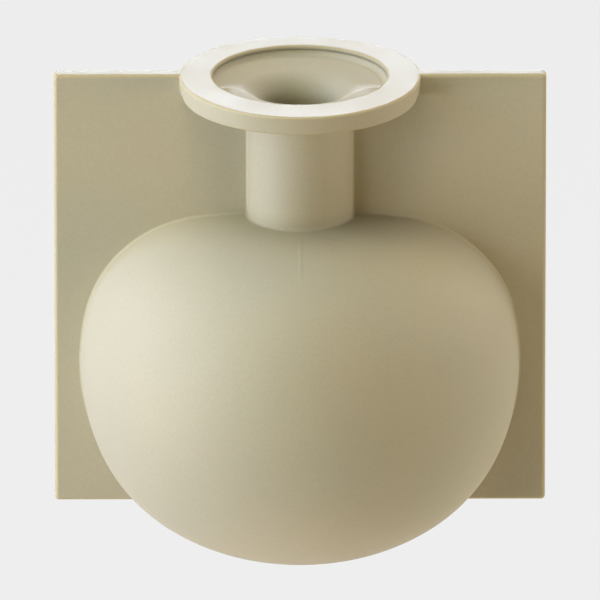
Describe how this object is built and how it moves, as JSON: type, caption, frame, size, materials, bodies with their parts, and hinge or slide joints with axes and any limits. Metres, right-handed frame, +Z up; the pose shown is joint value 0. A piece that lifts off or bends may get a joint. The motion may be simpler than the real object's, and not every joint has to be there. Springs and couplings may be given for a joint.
{
  "type": "hanging wall vase",
  "caption": "Round-bellied ceramic flask with a wide flat collar, set into a square plate, flat-backed and hung on two screws through keyholes.",
  "frame": {"origin": "on the wall plane, midway between the two wall screws that carry the vase", "axes": "+Z up, +X to the viewer's right, +Y into the wall, so the vase faces -Y"},
  "size_m": [0.2, 0.1698, 0.2002],
  "materials": {
    "glaze": "satin matte",
    "bare_clay": "matte",
    "zinc_steel": "satin"
  },
  "bodies": {
    "wall_fixings": {"wall_screw_left": "zinc_steel", "wall_screw_right": "zinc_steel"},
    "vase": {"rim_ring": "glaze", "mouth_funnel": "glaze", "neck_tube": "glaze", "belly_shell": "glaze", "back_slab": "glaze", "plate_wing_left": "glaze", "plate_wing_right": "glaze", "hanger_pocket_left": "bare_clay", "hanger_pocket_right": "bare_clay"}
  },
  "joints": [
    {"name": "hang_lift", "type": "slide", "parent": "wall_fixings", "child": "vase", "axis": [0, 0, 1], "range_m": [0, 0.009]}
  ]
}
